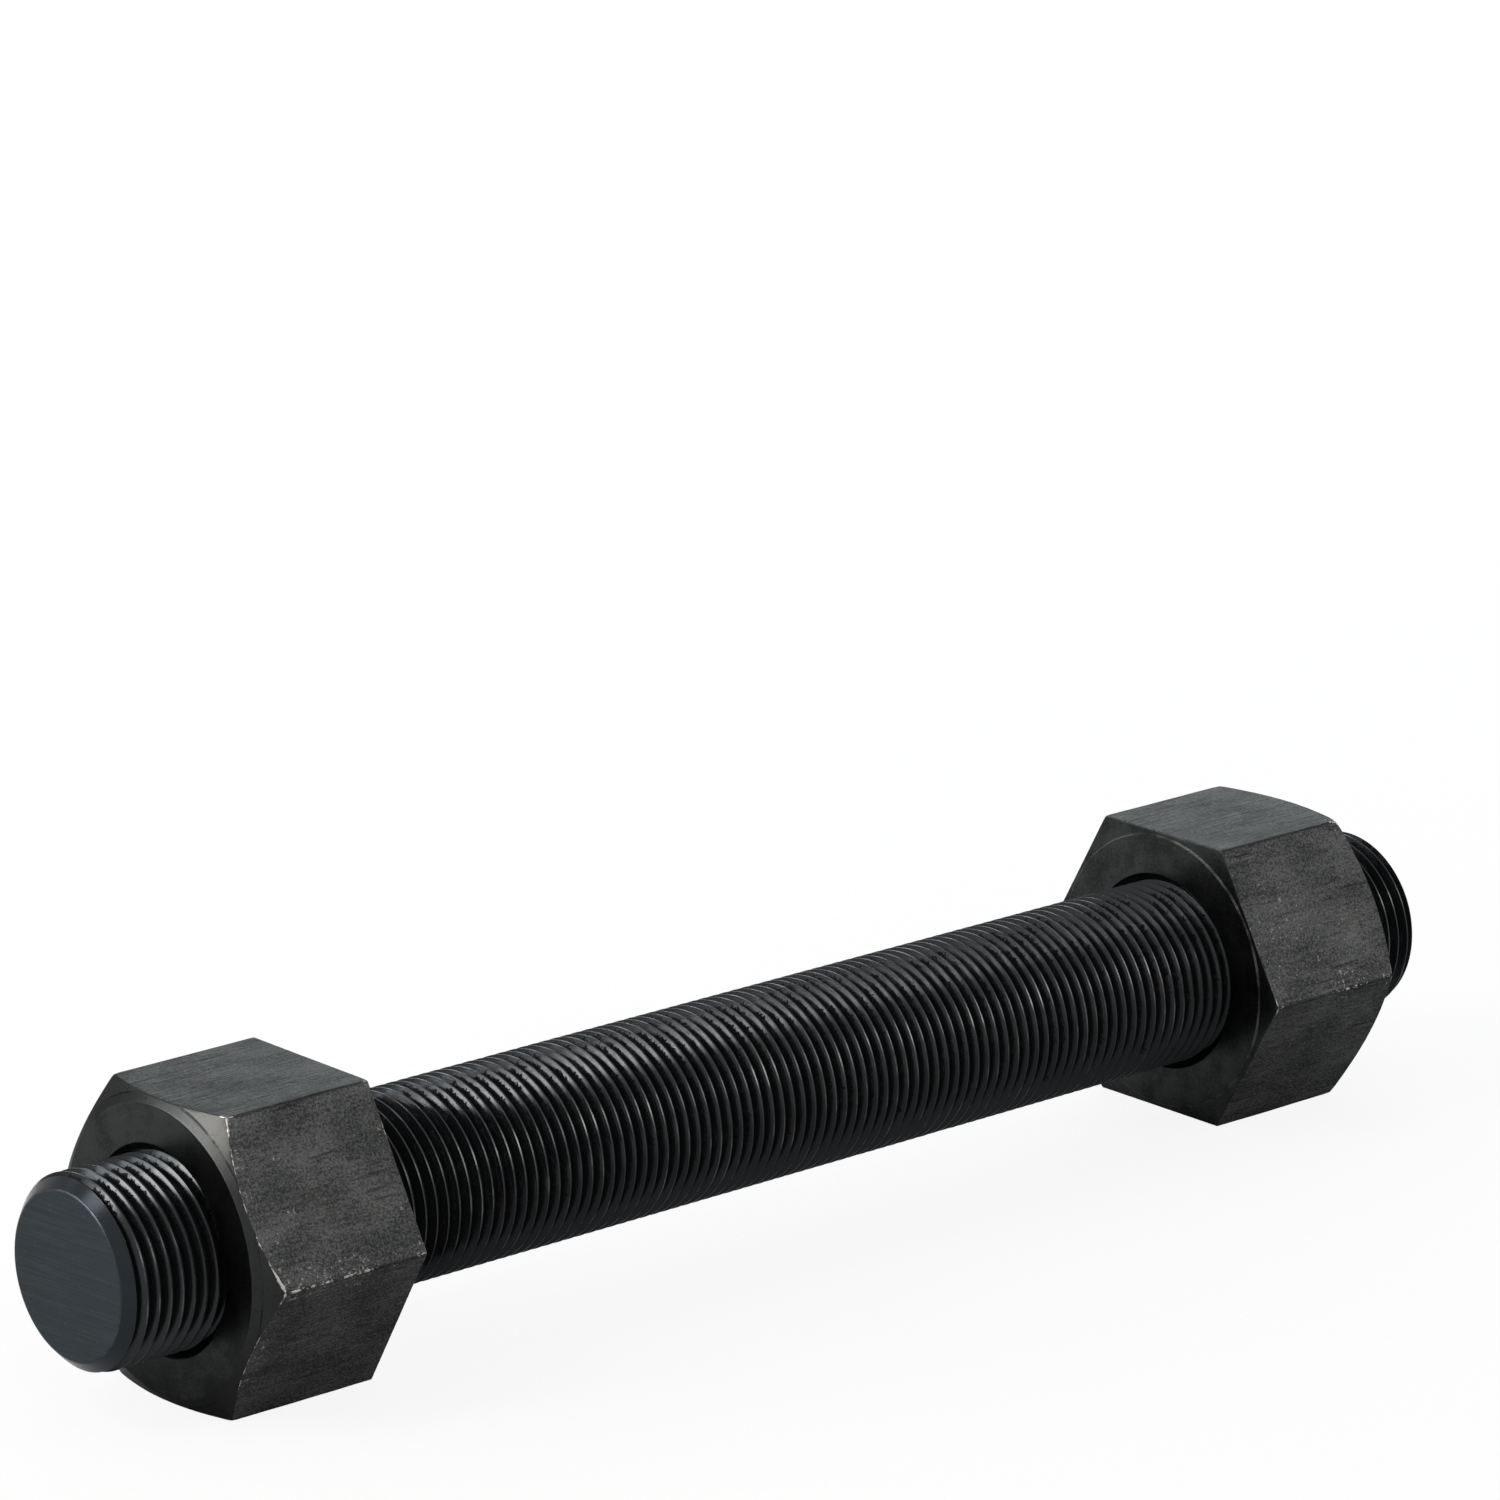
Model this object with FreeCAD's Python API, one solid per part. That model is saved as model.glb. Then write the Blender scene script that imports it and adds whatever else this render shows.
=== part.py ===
import FreeCAD, Part
import math
import os

# Stud bolt with two heavy hex nuts, lying on its nuts. Sizes are in millimetres and degrees.
# The bar lies along X and its axis is the origin's height; the midpoint of its length is the origin.

# Stud: a bar threaded from end to end
stud_length = 393.7
thread_diameter = 44.45
end_chamfer_length = 3.15
end_chamfer_angle = 45.0
end_edge_radius = 0.8

# Nut: forged hexagon with a chamfered outer face and a washer face on its bearing side
nut_across_flats = 69.2
nut_height = 43.0
chamfer_circle_margin = 1.7
chamfer_angle = 30.0
washer_face_margin = 1.1
washer_face_height = 0.4
countersink_rim = 1.75
countersink_angle = 45.0

# Where the nuts stand on the bar, and how freely they run on it
thread_projection = 24.35
running_clearance = 0.05

# Sizes that follow from those above
stud_radius = thread_diameter / 2
end_face_radius = stud_radius - end_chamfer_length * math.tan(math.radians(end_chamfer_angle))
flat_radius = nut_across_flats / 2
corner_radius = flat_radius / math.cos(math.radians(30.0))
chamfer_circle_radius = flat_radius - chamfer_circle_margin
chamfer_depth = (corner_radius - chamfer_circle_radius) * math.tan(math.radians(chamfer_angle))
washer_face_radius = flat_radius - washer_face_margin
bore_radius = stud_radius + running_clearance
countersink_radius = bore_radius + countersink_rim
countersink_depth = countersink_rim / math.tan(math.radians(countersink_angle))
outer_face_x = stud_length / 2 - thread_projection
bearing_face_x = outer_face_x - nut_height


def turned(outline):
    """Solid of revolution about X from a closed outline of (x, radius) points."""
    points = [FreeCAD.Vector(x, radius, 0) for x, radius in outline]
    face = Part.Face(Part.makePolygon(points + points[:1]))
    return face.revolve(FreeCAD.Vector(0, 0, 0), FreeCAD.Vector(1, 0, 0), 360)


def rim_edges(shape, x, radius):
    """Circular edges of a turned shape that lie at one station and have one radius."""
    found = []
    for edge in shape.Edges:
        if not isinstance(edge.Curve, Part.Circle):
            continue
        at_station = abs(edge.Curve.Center.x - x) < 0.001
        if at_station and abs(edge.Curve.Radius - radius) < 0.001:
            found.append(edge)
    return found


def threaded_stud():
    """Bar at the thread's outside diameter, chamfered and eased at both ends."""
    end_x = stud_length / 2
    shoulder_x = end_x - end_chamfer_length
    bar = turned([
        (-end_x, 0),
        (-end_x, end_face_radius),
        (-shoulder_x, stud_radius),
        (shoulder_x, stud_radius),
        (end_x, end_face_radius),
        (end_x, 0),
    ])
    rims = rim_edges(bar, -end_x, end_face_radius) + rim_edges(bar, end_x, end_face_radius)
    return bar.makeFillet(end_edge_radius, rims)


def hexagon_blank():
    """Hexagon bar as long as the nut is high, with a flat on top and one below."""
    corners = []
    for number in range(6):
        angle = math.radians(60.0 * number)
        y = corner_radius * math.cos(angle)
        z = corner_radius * math.sin(angle)
        corners.append(FreeCAD.Vector(0, y, z))
    face = Part.Face(Part.makePolygon(corners + corners[:1]))
    return face.extrude(FreeCAD.Vector(nut_height, 0, 0))


def nut_envelope():
    """Turned shape that leaves the washer face at x = 0 and the chamfer at the outer face."""
    return turned([
        (0, 0),
        (0, washer_face_radius),
        (washer_face_height, washer_face_radius),
        (washer_face_height, corner_radius),
        (nut_height - chamfer_depth, corner_radius),
        (nut_height, chamfer_circle_radius),
        (nut_height, 0),
    ])


def bore_with_countersinks():
    """Turned cutter for the threaded hole, which opens out at both mouths."""
    return turned([
        (0, 0),
        (0, countersink_radius),
        (countersink_depth, bore_radius),
        (nut_height - countersink_depth, bore_radius),
        (nut_height, countersink_radius),
        (nut_height, 0),
    ])


def heavy_nut():
    """Nut with its bearing face at x = 0 and its chamfered face towards +X."""
    return hexagon_blank().common(nut_envelope()).cut(bore_with_countersinks())


def far_nut():
    """Nut at the +X end, bearing face inwards."""
    nut = heavy_nut()
    nut.translate(FreeCAD.Vector(bearing_face_x, 0, 0))
    return nut


def near_nut():
    """The same nut turned end for end, at the -X end."""
    nut = far_nut()
    nut.rotate(FreeCAD.Vector(0, 0, 0), FreeCAD.Vector(0, 0, 1), 180)
    return nut


pieces = {
    "threaded_stud": threaded_stud(),
    "near_nut": near_nut(),
    "far_nut": far_nut(),
}

os.makedirs("parts", exist_ok=True)
for name, shape in pieces.items():
    shape.exportStep(os.path.join("parts", name + ".step"))
    box = shape.BoundBox
    print(name, shape.ShapeType, len(shape.Solids), shape.isValid(), round(shape.Volume, 1))
    print("  x", round(box.XMin, 3), round(box.XMax, 3), "y", round(box.YMin, 3), round(box.YMax, 3),
          "z", round(box.ZMin, 3), round(box.ZMax, 3))
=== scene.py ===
import math
from collections import namedtuple

import bpy
import numpy as np
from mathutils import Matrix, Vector, noise


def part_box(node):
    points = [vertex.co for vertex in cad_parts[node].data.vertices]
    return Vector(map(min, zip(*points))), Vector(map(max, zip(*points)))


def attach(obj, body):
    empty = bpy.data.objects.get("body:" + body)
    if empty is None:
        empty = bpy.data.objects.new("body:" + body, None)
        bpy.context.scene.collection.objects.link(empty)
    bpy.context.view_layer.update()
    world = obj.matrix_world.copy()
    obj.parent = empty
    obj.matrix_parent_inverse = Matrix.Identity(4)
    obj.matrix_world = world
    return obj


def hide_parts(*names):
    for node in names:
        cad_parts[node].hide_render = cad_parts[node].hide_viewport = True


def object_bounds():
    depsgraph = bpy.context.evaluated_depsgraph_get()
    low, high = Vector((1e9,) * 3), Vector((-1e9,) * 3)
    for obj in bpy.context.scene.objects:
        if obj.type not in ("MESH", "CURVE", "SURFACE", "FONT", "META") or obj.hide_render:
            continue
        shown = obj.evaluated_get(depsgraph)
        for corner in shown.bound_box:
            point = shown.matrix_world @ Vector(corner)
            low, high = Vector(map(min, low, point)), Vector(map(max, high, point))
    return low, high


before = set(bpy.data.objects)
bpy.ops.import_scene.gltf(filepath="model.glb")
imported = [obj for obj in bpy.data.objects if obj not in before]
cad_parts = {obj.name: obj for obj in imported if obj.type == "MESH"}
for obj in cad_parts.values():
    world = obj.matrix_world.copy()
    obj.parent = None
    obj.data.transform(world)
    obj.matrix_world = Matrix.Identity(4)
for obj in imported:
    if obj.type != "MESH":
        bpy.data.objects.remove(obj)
cad_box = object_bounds()


# The stud's blank
# A bar of alloy steel, sawn to length and turned to a cone at both ends, with the sharp edge eased.
# The thread is cut over all of it, so the bar's own surface is left only at its ends.
stud_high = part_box("threaded_stud")[1]
half_length = stud_high.x
crest_radius = stud_high.z
end_chamfer = 0.00315
end_face_radius = crest_radius - end_chamfer
end_easing = 0.0012
cone_easing = 0.0050
easing_limit = 0.45
blank_overhang = 0.0006
blank_segments = 180
blank_easing_steps = 5


def eased_corners(corners, radii, steps):
    """Rounds the corners of many outlines at once, each corner an array of (x, radius) rows."""
    rounded = []
    for index, (corner, radius) in enumerate(zip(corners, radii)):
        if radius == 0:
            rounded.append(corner)
            continue
        before = corners[index - 1] - corner
        after = corners[(index + 1) % len(corners)] - corner
        before_length = np.linalg.norm(before, axis=1, keepdims=True)
        after_length = np.linalg.norm(after, axis=1, keepdims=True)
        before = before / before_length
        after = after / after_length
        half_angle = np.arccos(np.clip((before * after).sum(1, keepdims=True), -1, 1)) / 2
        shorter_side = np.minimum(before_length, after_length)
        reach = np.minimum(radius / np.tan(half_angle), easing_limit * shorter_side)
        middle = before + after
        middle = middle / np.linalg.norm(middle, axis=1, keepdims=True)
        centre = corner + middle * reach / np.cos(half_angle)
        first = corner + before * reach - centre
        last = corner + after * reach - centre
        sweep = math.pi - 2 * half_angle
        for step in range(steps + 1):
            share = step / steps
            spoke = first * np.sin((1 - share) * sweep) + last * np.sin(share * sweep)
            rounded.append(centre + spoke / np.sin(sweep))
    return rounded


def mesh_piece(name, points, faces):
    """Object with one mesh, linked to the scene."""
    mesh = bpy.data.meshes.new(name)
    mesh.from_pydata([tuple(point) for point in points], [], [tuple(face) for face in faces])
    mesh.validate()
    mesh.update()
    piece = bpy.data.objects.new(name, mesh)
    bpy.context.scene.collection.objects.link(piece)
    return piece


def turned_piece(name, outline, segments):
    """Closed solid turned about X from an outline of (x, radius) with both ends on the axis."""
    inner = outline[1:-1]
    angles = np.arange(segments) * math.tau / segments
    points = [(x, radius * math.cos(angle), radius * math.sin(angle))
              for x, radius in inner for angle in angles]
    points += [(outline[0][0], 0, 0), (outline[-1][0], 0, 0)]
    first_tip = len(points) - 2
    faces = []
    for ring in range(len(inner) - 1):
        for here in range(segments):
            there = (here + 1) % segments
            low = ring * segments
            high = low + segments
            faces.append((low + here, low + there, high + there, high + here))
    last_ring = (len(inner) - 1) * segments
    for here in range(segments):
        there = (here + 1) % segments
        faces.append((there, here, first_tip))
        faces.append((last_ring + here, last_ring + there, first_tip + 1))
    return mesh_piece(name, points, faces)


blank_radius = crest_radius + blank_overhang
cone_end = half_length - end_chamfer - blank_overhang
blank_corners = [
    np.array([[-half_length, 0.0]]),
    np.array([[-half_length, end_face_radius]]),
    np.array([[-cone_end, blank_radius]]),
    np.array([[cone_end, blank_radius]]),
    np.array([[half_length, end_face_radius]]),
    np.array([[half_length, 0.0]]),
]
blank_easings = (0, end_easing, cone_easing, cone_easing, end_easing, 0)
blank_outline = [row[0] for row in eased_corners(blank_corners, blank_easings, blank_easing_steps)]
blank = turned_piece("stud_blank", blank_outline, blank_segments)


# The stud's thread
# A right-hand thread with 60 degree flanks and 8 turns to the inch, cut from one end to the other.
# Its crests are narrow flats with nicks from handling, its roots are rounded, and its first groove
# rises out of the metal in the cone at each end.
pitch = 0.003175
turn_segments = 90
root_depth = 0.6134 * pitch
flank_depth = 0.5413 * pitch
root_side_share = 0.97
spare_turns = 2
nick_depth = 0.00006
nick_spacing = 0.0060
nick_detail = 2.3
nick_gain = 2.4
runout_start = 0.0017
runout_length = 0.0016
sharp_degrees = 40
large_face_weight = 60

# Places across a groove, as shares of a pitch from the middle of a crest.
crest_half = 0.0625
crest_break = 0.014
flank_foot = 0.375
root_side = 0.4375


def thread_stations(radius, swell):
    """(share of a pitch, radius) across one groove, crest to crest; swell widens the thread."""
    slope = math.sqrt(3) * pitch
    shift = swell / slope
    break_drop = crest_break * slope / 2
    half = [
        (crest_half - crest_break / 2 + shift, radius + swell),
        (crest_half + crest_break / 2 + shift, radius + swell - break_drop),
        (flank_foot + shift, radius + swell - flank_depth),
        (root_side + shift / 2, radius + swell / 2 - root_depth * root_side_share),
    ]
    return [(-half[1][0], half[1][1]), (-half[0][0], half[0][1]), *half,
            (1 - half[3][0], half[3][1]), (1 - half[2][0], half[2][1])]


def held(value):
    """The value, kept from 0 to 1."""
    return min(1.0, max(0.0, value))


def nicked(point):
    """A point of a crest, sunk a little where the crest was knocked."""
    place = Vector(point)
    broad = noise.noise(place / nick_spacing)
    fine = noise.noise(place / nick_spacing * nick_detail)
    sink = nick_depth * held((broad + 0.5 * fine) * nick_gain - 1.0)
    share = 1 - sink / math.hypot(place.y, place.z)
    return (place.x, place.y * share, place.z * share)


def threaded_rod(name, first_turn, last_turn, stations, bar_end=None):
    """Closed rod along the helix; given a bar's end, grooves run out there and crests have nicks."""
    count = len(stations)
    steps = (last_turn - first_turn) * turn_segments
    columns = np.arange(steps + turn_segments + 1) + first_turn * turn_segments
    angles = columns * math.tau / turn_segments
    shares = np.array([share for share, radius in stations])
    radii = np.array([radius for share, radius in stations])
    x = pitch * (columns[:, None] / turn_segments + shares[None, :])
    full = np.ones_like(x)
    if bar_end:
        inside = np.clip((bar_end - np.abs(x) - runout_start) / runout_length, 0, 1)
        full = inside * inside * (3 - 2 * inside)
    radial = radii.max() - (radii.max() - radii[None, :]) * full
    y = radial * np.cos(angles)[:, None]
    z = radial * np.sin(angles)[:, None]
    grid = np.stack([x, y, z], axis=2)
    if bar_end:
        crests = np.nonzero(radii > radii.max() - nick_depth)[0]
        for column in grid:
            for station in crests:
                column[station] = nicked(column[station])
    points = list(grid[:steps + 1].reshape(-1, 3))
    points += list(grid[steps + 1:, 0])
    start_x = x[0, 0] - pitch
    points += [np.array([start_x, 0, 0]), np.array([x[-1, 0] + pitch, 0, 0])]
    start_tip = len(points) - 2
    end_tip = len(points) - 1

    def vertex(column, station):
        if station == count:
            column += turn_segments
            station = 0
        if column <= steps:
            return column * count + station
        return (steps + 1) * count + column - steps - 1

    faces = []
    for column in range(steps):
        for station in range(count):
            faces.append((vertex(column, station), vertex(column + 1, station),
                          vertex(column + 1, station + 1), vertex(column, station + 1)))
    for column in range(turn_segments):
        faces.append((vertex(column + 1, 0), vertex(column, 0), start_tip))
        faces.append((vertex(steps + column, 0), vertex(steps + column + 1, 0), end_tip))
    for station in range(count):
        faces.append((vertex(0, station), vertex(0, station + 1), start_tip))
        faces.append((vertex(steps, station + 1), vertex(steps, station), end_tip))
    return mesh_piece(name, points, faces)


def cut_piece(piece, tool, operation):
    """Cuts a piece by a tool, keeps the result as its own mesh and deletes the tool."""
    cutting = piece.modifiers.new("cut", "BOOLEAN")
    cutting.operation = operation
    cutting.solver = "MANIFOLD"
    cutting.object = tool
    bpy.context.view_layer.update()
    evaluated = piece.evaluated_get(bpy.context.evaluated_depsgraph_get())
    mesh = bpy.data.meshes.new_from_object(evaluated)
    piece.modifiers.clear()
    piece.data = mesh
    bpy.data.objects.remove(tool)


def shaded_by_area(piece):
    """Smooth shading that keeps edges over an angle sharp and lets large faces stay flat."""
    piece.data.shade_smooth()
    piece.data.set_sharp_from_angle(angle=math.radians(sharp_degrees))
    weighting = piece.modifiers.new("weighting", "WEIGHTED_NORMAL")
    weighting.keep_sharp = True
    weighting.weight = large_face_weight


half_turns = math.ceil(half_length / pitch) + spare_turns
stud_stations = thread_stations(crest_radius, 0.0)
stud = threaded_rod("stud_thread", -half_turns, half_turns, stud_stations, half_length)
cut_piece(stud, blank, "INTERSECT")
shaded_by_area(stud)


# The stud's finish
# Black oxide, dipped in oil. The cut thread is glossy and blue-black, with torn metal in its grooves
# along the upper side, and painted shade darkens its flanks towards the roots of the grooves. The sawn
# end faces are satin, with fine parallel lines, and the turned cones round them are smooth.
class Wire:
    """A value on its way through a finish, so that sums are written as sums."""

    def __init__(self, finish, socket):
        self.finish = finish
        self.socket = socket

    def __add__(self, other):
        return self.finish.sum("ADD", self, other)

    def __radd__(self, other):
        return self.finish.sum("ADD", other, self)

    def __sub__(self, other):
        return self.finish.sum("SUBTRACT", self, other)

    def __rsub__(self, other):
        return self.finish.sum("SUBTRACT", other, self)

    def __mul__(self, other):
        return self.finish.sum("MULTIPLY", self, other)

    def __rmul__(self, other):
        return self.finish.sum("MULTIPLY", other, self)

    def __truediv__(self, other):
        return self.finish.sum("DIVIDE", self, other)

    def __rtruediv__(self, other):
        return self.finish.sum("DIVIDE", other, self)

    def __abs__(self):
        return self.finish.sum("ABSOLUTE", self)

    def beside(self, output):
        """Another output of the node that this value comes from."""
        return Wire(self.finish, self.socket.node.outputs[output])


class Finish:
    """The nodes of one material, or of the room, added one at a time."""

    def __init__(self, owner):
        owner.use_nodes = True
        self.owner = owner
        self.tree = owner.node_tree
        self.tree.nodes.clear()

    def add(self, kind, settings, sockets, output=0):
        """One node: its type, its settings, its sockets' values or links, and the output to use."""
        node = self.tree.nodes.new(kind)
        for key, value in settings.items():
            setattr(node, key, value)
        for key, value in sockets.items():
            if isinstance(value, Wire):
                self.tree.links.new(value.socket, node.inputs[key])
            else:
                node.inputs[key].default_value = value
        return Wire(self, node.outputs[output]) if node.outputs else None

    def sum(self, operation, *values):
        return self.add("ShaderNodeMath", {"operation": operation}, dict(enumerate(values)))

    def step(self, value, low, high):
        """Smooth rise from 0 at low to 1 at high."""
        return self.add("ShaderNodeMapRange", {"interpolation_type": "SMOOTHSTEP"},
                        {"Value": value, "From Min": low, "From Max": high})

    def place(self):
        """A point of the piece in metres, whole and as its three coordinates."""
        where = self.add("ShaderNodeTexCoord", {}, {}, "Object")
        x = self.add("ShaderNodeSeparateXYZ", {}, {0: where})
        return where, x, x.beside("Y"), x.beside("Z")

    def point(self, x, y, z):
        return self.add("ShaderNodeCombineXYZ", {}, {0: x, 1: y, 2: z})

    def grain(self, where, scale, detail=4.0, roughness=0.6):
        """Uneven value from 0 to 1; scale is how many grains it has to the metre."""
        return self.add("ShaderNodeTexNoise", {"normalize": True},
                        {"Vector": where, "Scale": scale, "Detail": detail, "Roughness": roughness})

    def blend(self, share, colour, other):
        """The first colour where share is 0, the other where it is 1."""
        return self.add("ShaderNodeMix", {"data_type": "RGBA"}, {0: share, 6: colour, 7: other}, 2)

    def relief(self, height, depth):
        """Normal of a surface that stands depth metres proud where height is 1."""
        return self.add("ShaderNodeBump", {}, {
            "Height": height,
            "Distance": depth,
            "Strength": 1.0,
        })

    def steel(self, colour, roughness, normal, grazing, metallic=1.0):
        """Ends the material as steel; grazing is how bright it is where it is seen nearly edge on."""
        shader = self.add("ShaderNodeBsdfPrincipled", {}, {
            "Base Color": colour,
            "Metallic": metallic,
            "Roughness": roughness,
            "Normal": normal,
            "Specular Tint": (grazing, grazing, grazing, 1),
        })
        self.add("ShaderNodeOutputMaterial", {}, {"Surface": shader})
        return self.owner


oil_grazing = 0.32
oiled_metal = 0.80
oiled_flank = (0.0252, 0.0268, 0.0286, 1)
# Painted shade: the colour the flanks take on near the roots of the grooves.
painted_root_shade_colour = (0.0080, 0.0084, 0.0088, 1)
torn_metal = (0.0035, 0.0036, 0.0038, 1)
rubbed_crest = (0.100, 0.102, 0.103, 1)
thread_relief = 0.00006

end_grazing = 0.8
sawn_dark = (0.021, 0.0265, 0.0310, 1)
sawn_pale = (0.031, 0.0380, 0.0440, 1)
saw_line = (0.052, 0.060, 0.066, 1)
sawn_speck = (0.12, 0.13, 0.14, 1)
turned_cone = (0.023, 0.0265, 0.030, 1)
# Partly chips and partly a painted highlight: the pale line at the end face's edge.
chipped_rim_and_highlight = (0.12, 0.13, 0.135, 1)
saw_slant = 0.06
rim_inset = 0.0001
end_relief = 0.00002

face_margin = 0.0003
blank_margin = 0.00008


def thread_finish():
    """Oiled black oxide on a thread: glossy flanks, torn metal in the grooves, painted shade towards
    the roots, crests rubbed grey.
    """
    finish = Finish(bpy.data.materials.new("oiled_black_thread"))
    where, x, y, z = finish.place()
    turn = finish.sum("ARCTAN2", z, y) / math.tau
    crest = abs(finish.sum("FRACT", x / pitch - turn) - 0.5) * 2
    swarf = finish.grain(where, 2000.0, 4.0, 0.7)
    patch = finish.grain(where, 125.0, 2.0, 0.5)
    ripple = finish.grain(where, 420.0, 3.0, 0.6)
    rub = finish.step(finish.grain(where, 95.0, 3.0, 0.6), 0.49, 0.68)
    blots = finish.grain(where, 880.0, 3.0, 0.6)
    combed = finish.grain(finish.point(crest * 5, y * 150, z * 150), 1.0, 2.0, 0.6)
    upper_side = (z * 0.86 - y * 0.51) / crest_radius
    torn = finish.step(patch + upper_side * 0.25, 0.67, 0.78)
    ragged = swarf * 0.45 + blots * 0.55 - crest * 0.60 + torn * 0.10
    tear = finish.step(ragged, 0.22, 0.26) * torn
    # Painted shade: the flanks are coloured darker towards the roots, where the groove shades itself.
    painted_root_shade = finish.step(crest, 0.70, 0.12)
    crest_line = finish.step(crest, 0.860, 0.885)
    flank = finish.blend(painted_root_shade * 0.55, oiled_flank, painted_root_shade_colour)
    dark = finish.blend(tear * 0.9, flank, torn_metal)
    colour = finish.blend(crest_line * (0.08 + rub * 0.77), dark, rubbed_crest)
    roughness = 0.14 + tear * 0.40 + crest_line * 0.10 + ripple * 0.05 + painted_root_shade * 0.08
    height = tear * swarf + ripple * 0.45 + combed * 0.22
    normal = finish.relief(height, thread_relief)
    return finish.steel(colour, roughness, normal, oil_grazing, oiled_metal)


def end_finish():
    """Satin black oxide on the sawn face and smooth oiled oxide on the turned cone round it."""
    finish = Finish(bpy.data.materials.new("satin_black_end"))
    where, x, y, z = finish.place()
    lines = finish.grain(finish.point(x * 40, y * 45, (z + y * saw_slant) * 2400), 1.0, 3.0, 0.6)
    cloud = finish.grain(where, 120.0, 4.0, 0.6)
    speck = finish.step(finish.grain(where, 1500.0, 2.0, 0.5), 0.71, 0.77)
    radius = finish.sum("SQRT", y * y + z * z)
    cone = finish.step(radius, end_face_radius - 0.00020, end_face_radius + 0.00025)
    rim = finish.step(abs(radius - end_face_radius + rim_inset), 0.00028, 0.00006)
    chips = finish.step(finish.grain(where, 420.0, 3.0, 0.6), 0.46, 0.64)
    base = finish.blend(cloud, sawn_dark, sawn_pale)
    lined = finish.blend(finish.step(lines, 0.40, 0.68) * 0.34, base, saw_line)
    specked = finish.blend(speck * 0.4, lined, sawn_speck)
    turned = finish.blend(cone, specked, turned_cone)
    # Partly chips, partly painted highlight: a pale broken line just inside the end face's edge, where
    # it catches the light.
    colour = finish.blend(rim * chips * 0.16, turned, chipped_rim_and_highlight)
    roughness = 0.38 + lines * 0.10 - cone * 0.20
    height = lines * (1 - cone) + cloud * cone * 0.3
    return finish.steel(colour, roughness, finish.relief(height, end_relief), end_grazing)


def end_faces(piece):
    """1 for the faces of the mesh that belong to the stud's sawn and turned ends, 0 for its thread."""
    mesh = piece.data
    centres = np.zeros(len(mesh.polygons) * 3)
    mesh.polygons.foreach_get("center", centres)
    centres = centres.reshape(-1, 3)
    radius = np.hypot(centres[:, 1], centres[:, 2])
    far_half = np.array(blank_outline[len(blank_outline) // 2:])
    blank_level = np.interp(np.abs(centres[:, 0]), far_half[:, 0], far_half[:, 1])
    on_face = np.abs(centres[:, 0]) > half_length - face_margin
    on_cone = radius > blank_level - blank_margin
    return (on_face | on_cone).astype(np.int32)


stud.data.materials.clear()
stud.data.materials.append(thread_finish())
stud.data.materials.append(end_finish())
stud.data.polygons.foreach_set("material_index", end_faces(stud))
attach(stud, "stud")
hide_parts("threaded_stud")


# The two heavy hex nuts
# Forged steel, hot formed to a hexagon. The outer face is turned to a cone, which cuts the flats in
# curves. The bearing face has a thin turned washer face, and the bore opens out at both mouths before
# the thread.
nut_low, nut_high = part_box("far_nut")
bearing_x = nut_low.x
nut_height = nut_high.x - nut_low.x
flat_radius = nut_high.z
corner_radius = flat_radius / math.cos(math.radians(30))
chamfer_circle = flat_radius - 0.0017
chamfer_slope = math.tan(math.radians(30))
washer_radius = flat_radius - 0.0011
washer_height = 0.0004
mouth_radius = crest_radius + 0.0018
hole_radius = crest_radius - 0.0022
tap_clearance = 0.00005
corner_easing = 0.0007
flat_steps = 30
corner_steps = 4
forging_dip = 0.00010
edge_dip = 0.00010
bearing_fade = 0.002
outer_fade = 0.003
wave_scale = 70.0
ragged_scale = 900.0
wave_detail = (0.6, 2.2, 3)

# How much each corner of a nut's outline is eased, going once round from the bore, and how many points
# stand between it and the next one.
nut_easings = (0, 0.0002, 0.00012, 0.00012, 0.00035, 0.0003, 0.00025, 0.0002, 0)
nut_fills = (0, 3, 0, 2, 44, 5, 3, 0, 0)
nut_easing_steps = 3

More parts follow.
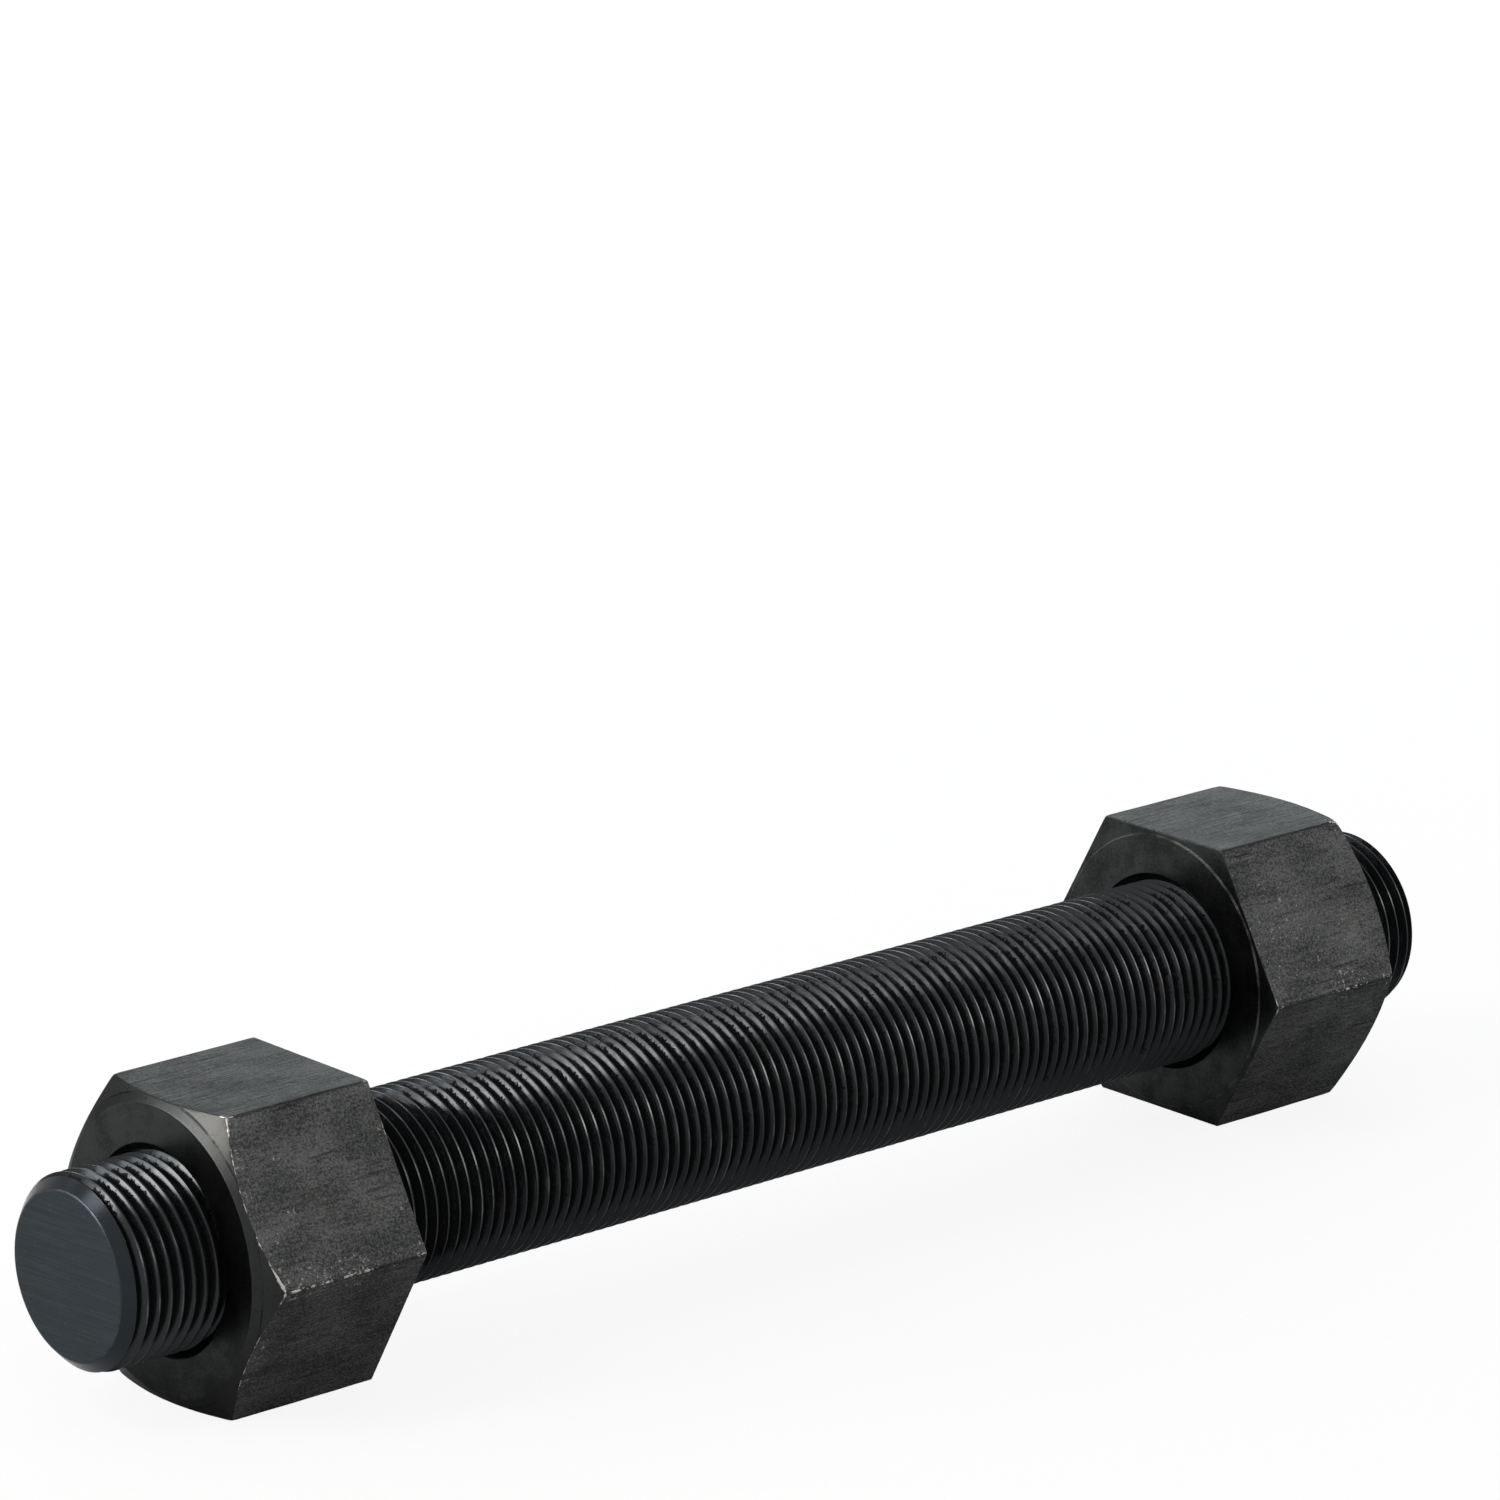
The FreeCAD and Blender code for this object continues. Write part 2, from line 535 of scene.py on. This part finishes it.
# A place on a nut that was knocked: its angle round the axis, its height over the bearing face and
# its radius, how far and how deep it is dented, and how far and how much oxide is worn off round it.
Mark = namedtuple("Mark", "degrees height radius dent_reach dent_depth wear_reach wear")
corner_height = nut_height - (corner_radius - chamfer_circle) * chamfer_slope
near_marks = (
    Mark(122, corner_height, corner_radius, 0.0030, 0.00016, 0.0052, 0.80),
    Mark(133, corner_height + 0.0020, flat_radius * 1.05, 0.0022, 0.00008, 0.0052, 0.45),
    Mark(147, corner_height + 0.0030, flat_radius, 0.0012, 0.00005, 0.0080, 0.36),
    Mark(163, corner_height + 0.0024, flat_radius * 1.02, 0.0026, 0.00014, 0.0026, 0.80),
    Mark(172, corner_height + 0.0010, flat_radius * 1.07, 0.0022, 0.00012, 0.0056, 0.60),
    Mark(180, corner_height, corner_radius, 0.0032, 0.00022, 0.0050, 0.95),
    Mark(180, 0.0310, corner_radius, 0.0030, 0.00008, 0.0075, 0.65),
    Mark(180, 0.0195, corner_radius, 0.0050, 0.00014, 0.0080, 0.85),
    Mark(180, 0.0090, corner_radius, 0.0022, 0.00008, 0.0036, 0.50),
    Mark(180, 0.0008, corner_radius, 0.0022, 0.00018, 0.0050, 0.75),
    Mark(136, 0.0004, flat_radius * 1.03, 0.0024, 0.00010, 0.0032, 0.90),
    Mark(119, 0.0008, corner_radius, 0.0018, 0.00012, 0.0030, 0.50),
    Mark(162, 0.0004, flat_radius * 1.03, 0.0018, 0.00008, 0.0060, 0.34),
    Mark(204, corner_height + 0.0024, flat_radius * 1.01, 0.0010, 0.00006, 0.0100, 0.42),
    Mark(222, corner_height + 0.0024, flat_radius * 1.01, 0.0010, 0.00006, 0.0080, 0.40),
    Mark(240, corner_height, corner_radius, 0.0020, 0.00012, 0.0034, 0.45),
    Mark(60, corner_height, corner_radius, 0.0022, 0.00012, 0.0030, 0.40),
    Mark(0, corner_height, corner_radius, 0.0026, 0.00018, 0.0050, 0.75),
    Mark(0, 0.0120, corner_radius, 0.0030, 0.00012, 0.0060, 0.60),
    Mark(300, 0.0300, corner_radius, 0.0030, 0.00012, 0.0060, 0.55),
    Mark(154, 0.0310, flat_radius * 1.001, 0.0016, 0.00010, 0.0030, 0.55),
    Mark(146, 0.0240, flat_radius * 1.001, 0.0012, 0.00006, 0.0026, 0.50),
    Mark(136, 0.0300, flat_radius * 1.02, 0.0012, 0.00006, 0.0030, 0.40),
    Mark(163, 0.0360, flat_radius * 1.02, 0.0016, 0.00008, 0.0032, 0.55),
)
far_marks = (
    Mark(60, 0.0005, corner_radius, 0.0020, 0.00014, 0.0036, 0.55),
    Mark(120, 0.0005, corner_radius, 0.0016, 0.00008, 0.0026, 0.16),
    Mark(142, 0.0030, flat_radius, 0.0012, 0.00006, 0.0300, 0.20),
    Mark(166, 0.0080, flat_radius, 0.0012, 0.00006, 0.0260, 0.16),
    Mark(180, 0.0005, corner_radius, 0.0022, 0.00016, 0.0036, 0.45),
    Mark(180, 0.0260, corner_radius, 0.0035, 0.00012, 0.0080, 0.75),
    Mark(120, corner_height, corner_radius, 0.0028, 0.00018, 0.0045, 0.85),
    Mark(180, corner_height, corner_radius, 0.0024, 0.00014, 0.0045, 0.85),
    Mark(60, corner_height, corner_radius, 0.0024, 0.00012, 0.0036, 0.60),
    Mark(300, 0.0200, corner_radius, 0.0035, 0.00014, 0.0070, 0.75),
    Mark(240, corner_height, corner_radius, 0.0024, 0.00014, 0.0040, 0.70),
)


def mark_place(side, mark):
    """Where a mark is; side is -1 for the nut at the -X end and 1 for the other."""
    angle = math.radians(mark.degrees)
    return Vector((side * (bearing_x + mark.height), mark.radius * math.cos(angle),
                   mark.radius * math.sin(angle)))


def hexagon_columns():
    """Angles round the nut and the hexagon's radius at each, with the corners eased."""
    arc_centre = corner_radius - corner_easing / math.cos(math.radians(30))
    straight = (flat_radius - corner_easing) * math.tan(math.radians(30))
    arc_start = math.atan2(straight, flat_radius)
    flat_angles = np.arctan2(np.linspace(-straight, straight, 2 * flat_steps + 1), flat_radius)
    half_arc = math.radians(30) - arc_start
    arc_angles = np.linspace(-half_arc, half_arc, 2 * corner_steps + 1)[1:-1]
    arc_radii = arc_centre * np.cos(arc_angles) + np.sqrt(
        corner_easing ** 2 - (arc_centre * np.sin(arc_angles)) ** 2)
    angles = []
    radii = []
    for side in range(6):
        middle = math.radians(30 + 60 * side)
        angles += list(middle + flat_angles) + list(middle + math.radians(30) + arc_angles)
        radii += list(flat_radius / np.cos(flat_angles)) + list(arc_radii)
    return np.array(angles), np.array(radii)


def spaced(start, end, count):
    """Points strictly between two corners of every outline."""
    return [start + (end - start) * (index + 1) / (count + 1) for index in range(count)]


def nut_body(name, side, marks):
    """Nut without its thread, from one outline for each angle round it."""
    angles, hexagon = hexagon_columns()
    level = np.ones_like(angles)
    opening_depth = mouth_radius - hole_radius
    edge_height = nut_height - (hexagon - chamfer_circle) * chamfer_slope
    corners = [np.stack(pair, axis=1) for pair in (
        (level * opening_depth, level * hole_radius),
        (level * 0, level * mouth_radius),
        (level * 0, level * washer_radius),
        (level * washer_height, level * washer_radius),
        (level * washer_height, hexagon),
        (edge_height, hexagon),
        (level * nut_height, level * chamfer_circle),
        (level * nut_height, level * mouth_radius),
        (level * (nut_height - opening_depth), level * hole_radius),
    )]
    eased = eased_corners(corners, nut_easings, nut_easing_steps)
    groups = []
    reader = 0
    for easing in nut_easings:
        taken = 1 if easing == 0 else nut_easing_steps + 1
        groups.append(eased[reader:reader + taken])
        reader += taken
    outline = []
    for index, group in enumerate(groups):
        outline += group
        following = groups[(index + 1) % len(groups)][0]
        outline += spaced(group[-1], following, nut_fills[index])
    rings = len(outline)
    columns = len(angles)
    height = np.stack([row[:, 0] for row in outline], axis=0)
    radius = np.stack([row[:, 1] for row in outline], axis=0)
    x = bearing_x + height
    y = radius * np.cos(angles)
    z = radius * np.sin(angles)
    points = np.stack([x * side, y, z], axis=2).reshape(-1, 3)
    dents = [(mark_place(side, mark), mark.dent_reach, mark.dent_depth) for mark in marks]
    points = np.array([forged_point(Vector(point), dents) for point in points])
    faces = []
    for ring in range(rings):
        following = (ring + 1) % rings
        for here in range(columns):
            there = (here + 1) % columns
            face = (ring * columns + here, ring * columns + there,
                    following * columns + there, following * columns + here)
            faces.append(face[::side])
    return mesh_piece(name, points, faces)


def forged_point(point, dents):
    """A point of the nut, sunk a little where the forging is uneven or has been knocked."""
    radial = Vector((0, point.y, point.z))
    radius = radial.length
    outside = held((radius - washer_radius) / (flat_radius - washer_radius))
    if outside == 0:
        return point
    height = abs(point.x) - bearing_x
    mid_height = held(height / bearing_fade) * held((nut_height - height) / outer_fade)
    wave = noise.fractal(point * wave_scale, *wave_detail) * 0.5 + 0.5
    ragged = noise.noise(point * ragged_scale) * 0.5 + 0.5
    sink = outside * mid_height * forging_dip * held(wave)
    sink += outside * (1 - mid_height) * edge_dip * ragged
    for place, reach, depth in dents:
        gap = (point - place).length
        if gap < reach:
            fade = 1 - gap / reach
            sink += depth * fade * fade * (0.6 + 0.8 * ragged) * outside
    return point - radial / radius * sink


# The nuts' finish
# Black oxide over forging scale on the flats, which are matt with fine pale grit and marks along the
# axis. The turned faces are smoother, and edges and corners are worn to bare steel where the nuts were
# handled.
bare_steel = (0.36, 0.35, 0.33, 1)
wear_width = 0.00060
handled_width = 0.00011
scale_grazing = 0.5

scale_dark = (0.0205, 0.0214, 0.0215, 1)
scale_pale = (0.092, 0.094, 0.092, 1)
browned_scale = (0.050, 0.040, 0.032, 1)
scratched_scale = (0.010, 0.010, 0.010, 1)
# Painted shade: the dark band along the hexagon's long edges.
edge_painted_shade = (0.012, 0.012, 0.012, 1)
grit_spark = (0.24, 0.23, 0.22, 1)
scale_relief = 0.00015

turned_dark = (0.019, 0.0200, 0.0200, 1)
turned_pale = (0.040, 0.0417, 0.0417, 1)
cone_band = (0.023, 0.0238, 0.0238, 1)
# Painted sheen: the lighter colour of the cone's corners on the nut's upper half.
corner_painted_sheen = (0.034, 0.034, 0.0328, 1)
# Painted highlight: the pale ring at the edge of the washer face.
washer_rim_highlight = (0.20, 0.20, 0.19, 1)
# Partly painted shade in the cone's crease, partly the colour of real cracks in the scale.
crease_shade_and_crack = (0.008, 0.008, 0.008, 1)
crease_radius = flat_radius + 0.0004
turned_relief = 0.00003

cone_margin = 0.00015
outer_face_margin = 0.0003
washer_face_margin = 0.0001
bore_margin = 0.0001

# Where a place on a nut is: its height over the bearing face, its radius, and its gaps to the hexagon's
# long edges and to the nearest edge of any kind.
NutPlace = namedtuple("NutPlace", "tall radius long_gap edge_gap")


class NutFinish(Finish):
    """Finish that also knows the nut's form, so that wear can follow its edges."""

    def on_nut(self, x, y, z):
        """The NutPlace of a point."""
        tall = abs(x) - bearing_x
        sine = math.sin(math.radians(60))
        first = abs(z)
        second = abs(z * 0.5 + y * sine)
        third = abs(z * 0.5 - y * sine)
        most = self.sum("MAXIMUM", self.sum("MAXIMUM", first, second), third)
        least = self.sum("MINIMUM", self.sum("MINIMUM", first, second), third)
        middle = first + second + third - most - least
        radius = self.sum("SQRT", y * y + z * z)
        cone = nut_height - (radius - chamfer_circle) * chamfer_slope
        inward = flat_radius - most
        corner = (most - middle) / sine
        long_gap = self.sum("MAXIMUM", corner, inward * 2)
        outer_gap = self.sum("MAXIMUM", cone - tall, inward)
        inner_gap = self.sum("MAXIMUM", tall - washer_height, inward)
        edge_gap = self.sum("MINIMUM", self.sum("MINIMUM", long_gap, outer_gap), inner_gap)
        return NutPlace(tall, radius, long_gap, edge_gap)

    def handled(self, where, side, marks):
        """How much a place was knocked and rubbed, from the nut's marks."""
        total = 0.0
        for mark in marks:
            gap = self.add("ShaderNodeVectorMath", {"operation": "DISTANCE"},
                           {0: where, 1: mark_place(side, mark)}, "Value")
            total = self.step(gap, mark.wear_reach, mark.wear_reach * 0.15) * mark.wear + total
        return total

    def worn_edges(self, where, edge_gap, handled):
        """Where the oxide has gone from the edges, from 0 to 1."""
        ragged = self.grain(where, 620.0, 5.0, 0.72)
        broad = self.grain(where, 120.0, 2.0, 0.5)
        amount = self.step(broad, 0.50, 0.72) * 0.18 + handled
        width = amount * wear_width * (ragged * 2.8 - 0.90) + handled * handled_width
        return self.step(width - edge_gap, 0.00002, 0.00010)


def flat_finish(name, side, marks):
    """Matt scale with pale grit, drawn along the axis, painted shade along the long edges, and knocked
    down to steel at the edges.
    """
    finish = NutFinish(bpy.data.materials.new(name))
    where, x, y, z = finish.place()
    on_nut = finish.on_nut(x, y, z)
    handled = finish.handled(where, side, marks)
    grit = finish.grain(where, 1750.0, 3.0, 0.85)
    drawn = finish.grain(finish.point(x * 0.22, y, z), 1500.0, 3.0, 0.75)
    clouds = finish.grain(finish.point(x * 0.6, y, z), 110.0, 2.0, 0.5)
    streak = finish.grain(finish.point(x * 0.07, y, z), 1050.0, 3.0, 0.7)
    scratch = finish.step(finish.grain(finish.point(x * 0.06, y, z), 800.0, 2.0, 0.5), 0.64, 0.72)
    scuffed = finish.sum("MINIMUM", handled, 0.4)
    spark = finish.step(finish.grain(where, 1150.0, 3.0, 0.6) + scuffed * 0.26, 0.70, 0.76)
    rust = finish.step(finish.grain(where, 230.0, 3.0, 0.5), 0.60, 0.76)
    worn = finish.worn_edges(where, on_nut.edge_gap, handled)
    tone = grit * 0.58 + drawn * 0.10 + streak * 0.12 + clouds * 0.20
    base = finish.blend(finish.step(tone, 0.40, 0.61), scale_dark, scale_pale)
    browned = finish.blend(rust * 0.45, base, browned_scale)
    dulled = finish.blend(scratch * 0.5, browned, scratched_scale)
    # Painted shade: the flats are coloured darker in a band along the hexagon's long edges.
    edge_shaded = finish.blend(finish.step(on_nut.long_gap, 0.0009, 0.0002) * 0.55, dulled, edge_painted_shade)
    flecked = finish.blend(spark * 0.8, edge_shaded, grit_spark)
    colour = finish.blend(worn, flecked, bare_steel)
    roughness = 0.47 + grit * 0.16 - worn * 0.12
    height = grit * 0.85 + drawn * 0.4 + streak * 2.4 - scratch * 0.8
    return finish.steel(colour, roughness, finish.relief(height, scale_relief), scale_grazing)


def turned_finish(name, side, marks):
    """Smooth oxide with tool lines on the faces, a satin cone with a painted sheen on its upper
    corners, and wear at the edges.
    """
    finish = NutFinish(bpy.data.materials.new(name))
    where, x, y, z = finish.place()
    on_nut = finish.on_nut(x, y, z)
    radius = on_nut.radius
    handled = finish.handled(where, side, marks)
    tool_lines = finish.grain(finish.point(radius * 2600, y * 60, z * 60), 1.0, 3.0, 0.6)
    clouds = finish.grain(where, 160.0, 4.0, 0.6)
    grit = finish.grain(where, 1600.0, 3.0, 0.7)
    worn = finish.worn_edges(where, on_nut.edge_gap, handled)
    outer = finish.step(on_nut.tall, nut_height * 0.5, nut_height * 0.6)
    on_cone = finish.step(radius, chamfer_circle, chamfer_circle + 0.0002) * outer
    on_corner = finish.step(radius, crease_radius, crease_radius + 0.0003) * on_cone
    crease_parts = finish.step(clouds, 0.42, 0.56)
    crease = finish.step(abs(radius - crease_radius), 0.00026, 0.00008) * crease_parts * outer
    rim_parts = finish.step(clouds, 0.36, 0.60)
    rim = finish.step(abs(radius - washer_radius), 0.00024, 0.00006) * rim_parts
    crack = finish.step(abs(finish.grain(where, 210.0, 2.0, 0.5) - 0.5), 0.0070, 0.0020) * on_cone
    # Painted shading: the turned outer face is coloured lighter towards the top and darker towards the
    # bottom.
    painted_light_from_above = z / corner_radius * outer * 0.10
    # Painted sheen: the cone's corners are coloured lighter only on the upper half, where the light
    # catches them.
    upper_half_for_sheen = finish.step(z, 0.0, 0.018)
    tone = tool_lines * 0.12 + clouds * 0.50 + grit * 0.38 + painted_light_from_above
    face = finish.blend(finish.step(tone, 0.38, 0.62), turned_dark, turned_pale)
    banded = finish.blend(on_cone * 0.8, face, cone_band)
    corner_sheened = finish.blend(on_corner * upper_half_for_sheen * (0.35 + grit), banded, corner_painted_sheen)
    # Painted highlight: a pale broken ring at the washer face's edge, where the turned edge catches the
    # light.
    rim_highlighted = finish.blend(rim * (1 - outer) * 0.45, corner_sheened, washer_rim_highlight)
    # Painted shade in the crease where the cone's slope changes, together with real dark cracks in the
    # scale on the cone.
    crease_shaded_cracked = finish.blend(crease * 0.75 + crack * 0.5, rim_highlighted, crease_shade_and_crack)
    colour = finish.blend(worn, crease_shaded_cracked, bare_steel)
    roughness = 0.26 + grit * 0.10 + on_cone * 0.02
    height = tool_lines * 0.08 + grit * 0.6 - crease * 1.5
    return finish.steel(colour, roughness, finish.relief(height, turned_relief), scale_grazing)


def nut_faces(piece):
    """0 for the forged flats, 1 for turned faces, 2 for the thread in the bore."""
    mesh = piece.data
    centres = np.zeros(len(mesh.polygons) * 3)
    mesh.polygons.foreach_get("center", centres)
    centres = centres.reshape(-1, 3)
    tall = np.abs(centres[:, 0]) - bearing_x
    radius = np.hypot(centres[:, 1], centres[:, 2])
    cone = nut_height - (radius - chamfer_circle) * chamfer_slope
    on_cone = tall > cone - cone_margin
    on_outer_face = tall > nut_height - outer_face_margin
    on_washer_face = tall < washer_height + washer_face_margin
    in_bore = radius < mouth_radius - bore_margin
    kinds = np.where(on_cone | on_outer_face | on_washer_face, 1, 0)
    kinds = np.where(in_bore, 2, kinds)
    return kinds.astype(np.int32)


def heavy_nut(name, node, side, marks):
    """One nut with its thread tapped on the same helix as the stud's."""
    nut = nut_body(name, side, marks)
    face_turns = (side * bearing_x / pitch, side * (bearing_x + nut_height) / pitch)
    first_turn = math.floor(min(face_turns)) - spare_turns
    last_turn = math.ceil(max(face_turns)) + spare_turns
    tap_stations = thread_stations(crest_radius, tap_clearance)
    tap = threaded_rod("tap", first_turn, last_turn, tap_stations)
    cut_piece(nut, tap, "DIFFERENCE")
    shaded_by_area(nut)
    nut.data.materials.clear()
    nut.data.materials.append(flat_finish(name + "_flats", side, marks))
    nut.data.materials.append(turned_finish(name + "_turned", side, marks))
    nut.data.materials.append(stud.data.materials[0])
    nut.data.polygons.foreach_set("material_index", nut_faces(nut))
    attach(nut, node)
    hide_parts(node)


heavy_nut("near_hex_nut", "near_nut", -1, near_marks)
heavy_nut("far_hex_nut", "far_nut", 1, far_marks)


# The surface it lies on
# A plain pale floor. The picture shows it almost white, with the object's soft shadow on it, and the
# steel mirrors it as the lights fall on it.
floor_size = 12.0
floor_level = cad_box[0].z
floor_colour = (0.86, 0.86, 0.86, 1)
shadow_share = 0.12
mirrored_shadow_share = 0.95


def floor_finish():
    """Matt pale paint, mixed with plain white by a different share in the picture and in the steel."""
    finish = Finish(bpy.data.materials.new("pale_floor"))
    seen = finish.add("ShaderNodeLightPath", {}, {}, "Is Camera Ray")
    mirrored = seen.beside("Is Glossy Ray") + seen.beside("Is Transmission Ray")
    white_share = seen * (1 - shadow_share) + mirrored * (1 - mirrored_shadow_share)
    matt = finish.add("ShaderNodeBsdfDiffuse", {}, {"Color": floor_colour})
    white = finish.add("ShaderNodeEmission", {}, {"Color": (1, 1, 1, 1), "Strength": 1.0})
    shader = finish.add("ShaderNodeMixShader", {}, {0: white_share, 1: matt, 2: white})
    finish.add("ShaderNodeOutputMaterial", {}, {"Surface": shader})
    return finish.owner


half_floor = floor_size / 2
floor_corners = [(-half_floor, -half_floor, floor_level), (half_floor, -half_floor, floor_level),
                 (half_floor, half_floor, floor_level), (-half_floor, half_floor, floor_level)]
floor = mesh_piece("floor", floor_corners, [(0, 1, 2, 3)])
floor.data.materials.append(floor_finish())


# The light
# A strip at the left inside a wider, weaker one, which draw the bright line along the thread. Soft
# lights stand behind it, over it, at its right and in front of it, in a white room.
def soft_light(name, toward, distance, width, height, power, colour):
    """Area light that shines on the stud from one direction."""
    lamp = bpy.data.lights.new(name, "AREA")
    lamp.shape = "RECTANGLE"
    lamp.size = width
    lamp.size_y = height
    lamp.energy = power
    lamp.color = colour
    holder = bpy.data.objects.new(name, lamp)
    bpy.context.scene.collection.objects.link(holder)
    direction = Vector(toward).normalized()
    holder.location = direction * distance
    holder.rotation_mode = "QUATERNION"
    holder.rotation_quaternion = direction.to_track_quat("Z", "Y")


# Each light's name, the direction it stands in, its distance, width and height, its watts and colour.
lights = (
    ("strip_light", (-0.850, 0.330, 0.357), 1.6, 0.48, 0.32, 6.6, (1.0, 0.98, 0.945)),
    ("strip_spill", (-0.830, 0.360, 0.378), 1.7, 0.95, 0.40, 5.8, (1.0, 0.975, 0.93)),
    ("left_back_light", (-0.747, 0.584, 0.318), 1.7, 0.7, 0.27, 4.0, (0.94, 0.98, 1.0)),
    ("high_back_light", (-0.275, 0.721, 0.636), 1.7, 0.5, 0.3, 1.8, (0.94, 0.98, 1.0)),
    ("right_back_light", (0.70, 0.68, 0.31), 1.8, 1.3, 0.5, 17.0, (0.88, 0.96, 1.0)),
    ("right_light", (0.636, -0.65, 0.42), 1.8, 0.7, 0.5, 6.2, (1.0, 1.0, 0.99)),
    ("top_light", (-0.63, 0.24, 0.74), 1.6, 0.5, 0.25, 3.5, (1.0, 1.0, 1.0)),
    ("left_front_light", (-0.40, -0.72, 0.57), 1.7, 0.4, 0.25, 2.5, (1.0, 1.0, 1.0)),
)
for light in lights:
    soft_light(*light)

room_light = 0.5
room = Finish(bpy.data.worlds.new("white_room"))
camera_ray = room.add("ShaderNodeLightPath", {}, {}, "Is Camera Ray")
mirrored_ray = camera_ray.beside("Is Glossy Ray") + camera_ray.beside("Is Transmission Ray")
room_seen = camera_ray + mirrored_ray
dim_room = room.add("ShaderNodeBackground", {}, {"Color": (1, 1, 1, 1), "Strength": room_light})
white_room = room.add("ShaderNodeBackground", {}, {"Color": (1, 1, 1, 1), "Strength": 1.0})
both_rooms = room.add("ShaderNodeMixShader", {}, {0: room_seen, 1: dim_room, 2: white_room})
room.add("ShaderNodeOutputWorld", {}, {"Surface": both_rooms})
bpy.context.scene.world = room.owner


# The camera
# It looks along the stud from the near end's right, a little from above, through a long lens.
view_azimuth = math.radians(-41.446)
view_elevation = math.radians(15.982)
view_distance = 1.771
view_target = Vector((-0.002, 0.0, 0.0802))
lens_length = 187.28
sensor_width = 36.0

back = Vector((math.sin(view_azimuth) * math.cos(view_elevation),
               -math.cos(view_azimuth) * math.cos(view_elevation), math.sin(view_elevation)))
camera = bpy.data.objects.new("camera", bpy.data.cameras.new("camera"))
bpy.context.scene.collection.objects.link(camera)
camera.data.sensor_width = sensor_width
camera.data.lens = lens_length
camera.location = view_target + back * view_distance
camera.rotation_mode = "QUATERNION"
camera.rotation_quaternion = back.to_track_quat("Z", "Y")
bpy.context.scene.camera = camera
bpy.context.scene.view_settings.view_transform = "Standard"
